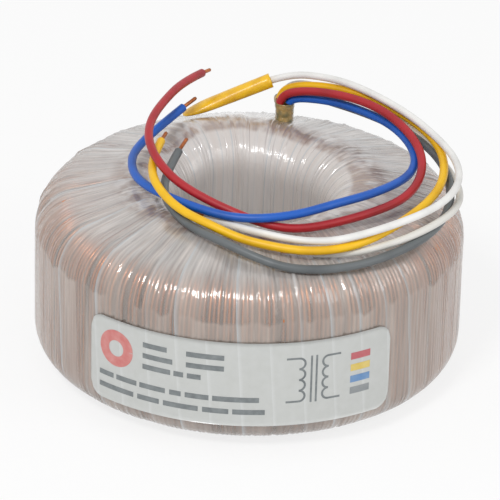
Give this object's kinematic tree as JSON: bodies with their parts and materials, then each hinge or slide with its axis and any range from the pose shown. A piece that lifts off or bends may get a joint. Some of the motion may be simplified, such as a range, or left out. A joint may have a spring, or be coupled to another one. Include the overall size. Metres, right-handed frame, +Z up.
{
  "type": "toroidal transformer",
  "caption": "Ring-core mains transformer wrapped in clear film over copper turns, with coloured flying leads looped over its top.",
  "frame": {"origin": "on the axis of the bore, at the height of the surface that the transformer stands on", "axes": "+Z up along the bore's axis; -Y is the front, with the rating label; +X is to the right of it"},
  "size_m": [0.11, 0.1102, 0.0637],
  "materials": {
    "core_steel": "rolled strip",
    "cap_plastic": "moulded",
    "primary_wire": "enamelled",
    "polyester_tape": "film",
    "secondary_wire": "enamelled",
    "crepe_tape": "crepe",
    "clear_film": "clear gloss",
    "label_paper": "satin",
    "collar_tape": "woven",
    "heat_shrink": "satin",
    "white_pvc": "satin",
    "red_pvc": "satin",
    "yellow_pvc": "satin",
    "blue_pvc": "satin",
    "grey_pvc": "satin",
    "bare_copper": "drawn"
  },
  "bodies": {
    "root": {"strip_core": "core_steel", "core_cap_top": "cap_plastic", "core_cap_bottom": "cap_plastic", "primary_winding": "primary_wire", "interwinding_tape": "polyester_tape", "secondary_winding_a": "secondary_wire", "secondary_winding_b": "secondary_wire", "lead_pad": "crepe_tape", "outer_wrap": "clear_film", "rating_label": "label_paper", "lead_collar": "collar_tape", "splice_sleeve": "heat_shrink", "white_lead_1": "white_pvc", "white_lead_2": "white_pvc", "red_lead": "red_pvc", "yellow_lead": "yellow_pvc", "blue_lead": "blue_pvc", "grey_lead": "grey_pvc", "white_strands_1": "bare_copper", "white_strands_2": "bare_copper", "red_wire_end": "bare_copper", "yellow_wire_end": "bare_copper", "blue_wire_end": "bare_copper", "grey_wire_end": "bare_copper"}
  },
  "joints": []
}
